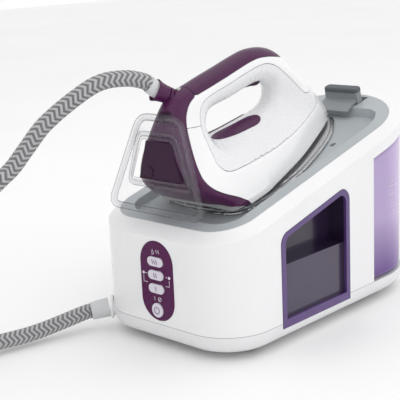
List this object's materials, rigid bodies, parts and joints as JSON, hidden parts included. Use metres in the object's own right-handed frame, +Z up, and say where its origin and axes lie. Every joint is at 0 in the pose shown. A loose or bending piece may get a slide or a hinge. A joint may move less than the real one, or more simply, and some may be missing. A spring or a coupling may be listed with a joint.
{
  "type": "steam generator iron",
  "caption": "Steam generator iron: a parked hand iron on a sloped base with a rear water tank, control panel and braided steam hose.",
  "frame": {"origin": "on the floor under the middle of the base", "axes": "+Z up, +Y towards the water tank at the rear, -Y towards the control panel, +X to the right seen from the front"},
  "size_m": [0.3026, 0.5453, 0.2692],
  "materials": {
    "white_plastic": "gloss",
    "tray_plastic": "matte",
    "purple_plastic": "gloss",
    "dark_plastic": "matte",
    "clear_plastic": "clear gloss",
    "tank_plastic": "translucent gloss",
    "panel_plastic": "satin",
    "lens_plastic": "gloss",
    "grey_plastic": "matte",
    "pad_rubber": "matte",
    "cord_rubber": "matte",
    "hose_braid": "braided",
    "steel": "satin",
    "sole_metal": "polished",
    "cast_aluminium": "cast",
    "brass": "satin"
  },
  "bodies": {
    "base": {"base_screws": "steel", "boiler_heater": "steel", "bottom_pan": "white_plastic", "control_board": "dark_plastic", "control_panel": "purple_plastic", "cord_grommet": "pad_rubber", "hose_flange": "grey_plastic", "indicator_lenses": "lens_plastic", "iron_tray": "tray_plastic", "lever_pin": "steel", "lever_spring": "steel", "lower_hose_cuff": "grey_plastic", "outlet_tube": "pad_rubber", "power_board": "dark_plastic", "power_cord": "cord_rubber", "power_plug": "cord_rubber", "rubber_feet": "pad_rubber", "safety_valve": "brass", "side_pocket_left": "purple_plastic", "side_pocket_right": "purple_plastic", "steam_boiler": "steel", "steam_hose": "hose_braid", "steam_tube": "pad_rubber", "steam_valve": "dark_plastic", "tank_coupling": "pad_rubber", "upper_shell": "white_plastic", "water_pump": "dark_plastic", "water_tube": "pad_rubber"},
    "iron": {"soleplate": "sole_metal", "sole_skirt": "grey_plastic", "steam_chamber": "cast_aluminium", "iron_heater": "steel", "thermostat": "dark_plastic", "top_cover": "purple_plastic", "heel_cover": "purple_plastic", "handle_core": "dark_plastic", "handle_shell": "white_plastic", "body_shell": "white_plastic", "heel_rest": "clear_plastic", "heel_panel": "dark_plastic", "badge_plate": "purple_plastic", "trigger_pin": "steel", "trigger_switch": "dark_plastic", "swivel_pin": "steel", "iron_steam_tube": "pad_rubber"},
    "swivel": {"hose_swivel": "purple_plastic", "hose_collar": "purple_plastic", "upper_hose_cuff": "grey_plastic"},
    "trigger": {"steam_trigger": "purple_plastic"},
    "tank": {"water_tank": "tank_plastic", "flap_pin": "steel", "tank_valve": "grey_plastic"},
    "flap": {"tank_flap": "tank_plastic"},
    "steam_high": {"steam_high_button": "panel_plastic"},
    "steam_medium": {"steam_medium_button": "panel_plastic"},
    "steam_low": {"steam_low_button": "panel_plastic"},
    "power": {"power_button": "panel_plastic"},
    "lever": {"lock_lever": "grey_plastic", "lever_pad": "pad_rubber"}
  },
  "joints": [
    {"name": "iron_lift", "type": "slide", "parent": "base", "child": "iron", "axis": [0, -0.2516, 0.9678], "range_m": [0, 0.14], "deforming": ["steam_hose"]},
    {"name": "hose_turn", "type": "hinge", "parent": "iron", "child": "swivel", "pos_m": [0, -0.12416, 0.22703], "axis": [0, -0.2516, 0.9678], "range_deg": [-18, 18], "deforming": ["steam_hose"]},
    {"name": "trigger_squeeze", "type": "hinge", "parent": "iron", "child": "trigger", "pos_m": [0, -0.04464, 0.23116], "axis": [1, 0, 0], "range_deg": [0, 4]},
    {"name": "lever_tilt", "type": "hinge", "parent": "base", "child": "lever", "pos_m": [0, 0.13419, 0.18713], "axis": [-1, 0, 0], "range_deg": [0, 18]},
    {"name": "tank_pull", "type": "slide", "parent": "base", "child": "tank", "axis": [0, 1, 0], "range_m": [0, 0.13]},
    {"name": "flap_open", "type": "hinge", "parent": "tank", "child": "flap", "pos_m": [0, 0.1633, 0.137], "axis": [-1, 0, 0], "range_deg": [0, 75]},
    {"name": "steam_high_press", "type": "slide", "parent": "base", "child": "steam_high", "axis": [0, 1, 0], "range_m": [0, 0.001], "stiffness_N_per_m": 600},
    {"name": "steam_medium_press", "type": "slide", "parent": "base", "child": "steam_medium", "axis": [0, 1, 0], "range_m": [0, 0.001], "stiffness_N_per_m": 600},
    {"name": "steam_low_press", "type": "slide", "parent": "base", "child": "steam_low", "axis": [0, 1, 0], "range_m": [0, 0.001], "stiffness_N_per_m": 600},
    {"name": "power_press", "type": "slide", "parent": "base", "child": "power", "axis": [0, 1, 0], "range_m": [0, 0.001], "stiffness_N_per_m": 600}
  ]
}
